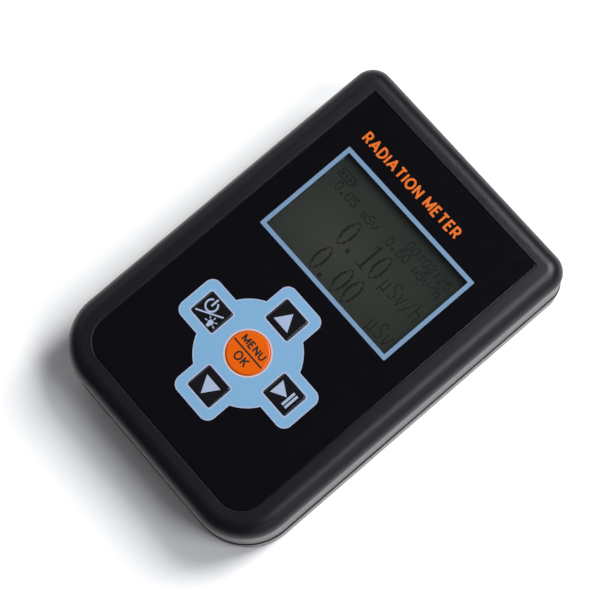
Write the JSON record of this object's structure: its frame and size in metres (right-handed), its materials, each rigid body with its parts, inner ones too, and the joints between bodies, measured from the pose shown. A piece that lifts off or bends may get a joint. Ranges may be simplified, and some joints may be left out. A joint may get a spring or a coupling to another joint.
{
  "type": "geiger counter",
  "caption": "Hand-held radiation meter: black two-shell case, glossy face label, dot-matrix display over a pale blue cross keypad with a round orange key, sliding battery door.",
  "frame": {"origin": "middle of the rear face's plane, under the middle of the case outline", "axes": "+X the display's right, +Y towards the display end, +Z out of the face"},
  "size_m": [0.085, 0.125, 0.0278],
  "materials": {
    "case_plastic": "fine satin texture, black",
    "label_film": "printed polycarbonate film, near black, semi-gloss",
    "clear_window": "clear, polished",
    "display_glass": "grey-green reflective dot-matrix glass, laminated with polariser film",
    "key_black": "printed black with pale symbols, semi-gloss",
    "key_orange": "printed orange with black letters, semi-gloss",
    "switch_plastic": "black nylon",
    "bright_steel": "nickel-plated spring steel",
    "dark_steel": "black oxide",
    "light_guide": "milky acrylic",
    "black_rubber": "layered silicone strip",
    "board_laminate": "green solder mask on glass-epoxy",
    "chip_resin": "moulded epoxy",
    "capacitor_resin": "dipped film capacitor",
    "tube_metal": "drawn thin metal tube, satin",
    "cell_sleeve": "printed film sleeve over a steel can"
  },
  "bodies": {
    "case": {"front_shell": "case_plastic", "rear_shell": "case_plastic", "face_label": "label_film", "display_window": "clear_window", "lcd_glass": "display_glass", "lcd_bezel": "bright_steel", "lcd_backlight": "light_guide", "lcd_contact_strip": "black_rubber", "main_board": "board_laminate", "microcontroller": "chip_resin", "crystal": "bright_steel", "hv_transformer": "chip_resin", "hv_capacitor": "capacitor_resin", "sounder": "chip_resin", "geiger_tube": "tube_metal", "tube_clip_1": "bright_steel", "tube_clip_2": "bright_steel", "cell_1": "cell_sleeve", "cell_2": "cell_sleeve", "contact_positive": "bright_steel", "contact_negative": "bright_steel", "contact_bridge": "bright_steel", "contact_spring_1": "bright_steel", "contact_spring_2": "bright_steel", "switch_up": "switch_plastic", "switch_down": "switch_plastic", "switch_power": "switch_plastic", "switch_play": "switch_plastic", "switch_menu": "switch_plastic", "case_screw_1": "dark_steel", "board_screw_1": "bright_steel", "case_screw_2": "dark_steel", "board_screw_2": "bright_steel", "case_screw_3": "dark_steel", "board_screw_3": "bright_steel", "case_screw_4": "dark_steel", "board_screw_4": "bright_steel"},
    "key_up": {"key_up": "key_black", "plunger_up": "switch_plastic"},
    "key_down": {"key_down": "key_black", "plunger_down": "switch_plastic"},
    "key_power": {"key_power": "key_black", "plunger_power": "switch_plastic"},
    "key_play": {"key_play": "key_black", "plunger_play": "switch_plastic"},
    "key_menu": {"key_menu": "key_orange", "plunger_menu": "switch_plastic"},
    "battery_door": {"battery_door": "case_plastic"}
  },
  "joints": [
    {"name": "key_up_press", "type": "slide", "parent": "case", "child": "key_up", "axis": [0, 0, -1], "range_m": [0, 0.0004], "stiffness_N_per_m": 3000, "springref_m": -0.00027},
    {"name": "key_down_press", "type": "slide", "parent": "case", "child": "key_down", "axis": [0, 0, -1], "range_m": [0, 0.0004], "stiffness_N_per_m": 3000, "springref_m": -0.00027},
    {"name": "key_power_press", "type": "slide", "parent": "case", "child": "key_power", "axis": [0, 0, -1], "range_m": [0, 0.0004], "stiffness_N_per_m": 3000, "springref_m": -0.00027},
    {"name": "key_play_press", "type": "slide", "parent": "case", "child": "key_play", "axis": [0, 0, -1], "range_m": [0, 0.0004], "stiffness_N_per_m": 3000, "springref_m": -0.00027},
    {"name": "key_menu_press", "type": "slide", "parent": "case", "child": "key_menu", "axis": [0, 0, -1], "range_m": [0, 0.0004], "stiffness_N_per_m": 3000, "springref_m": -0.00027},
    {"name": "battery_door_slide", "type": "slide", "parent": "case", "child": "battery_door", "axis": [0, -1, 0], "range_m": [0, 0.0625]}
  ]
}
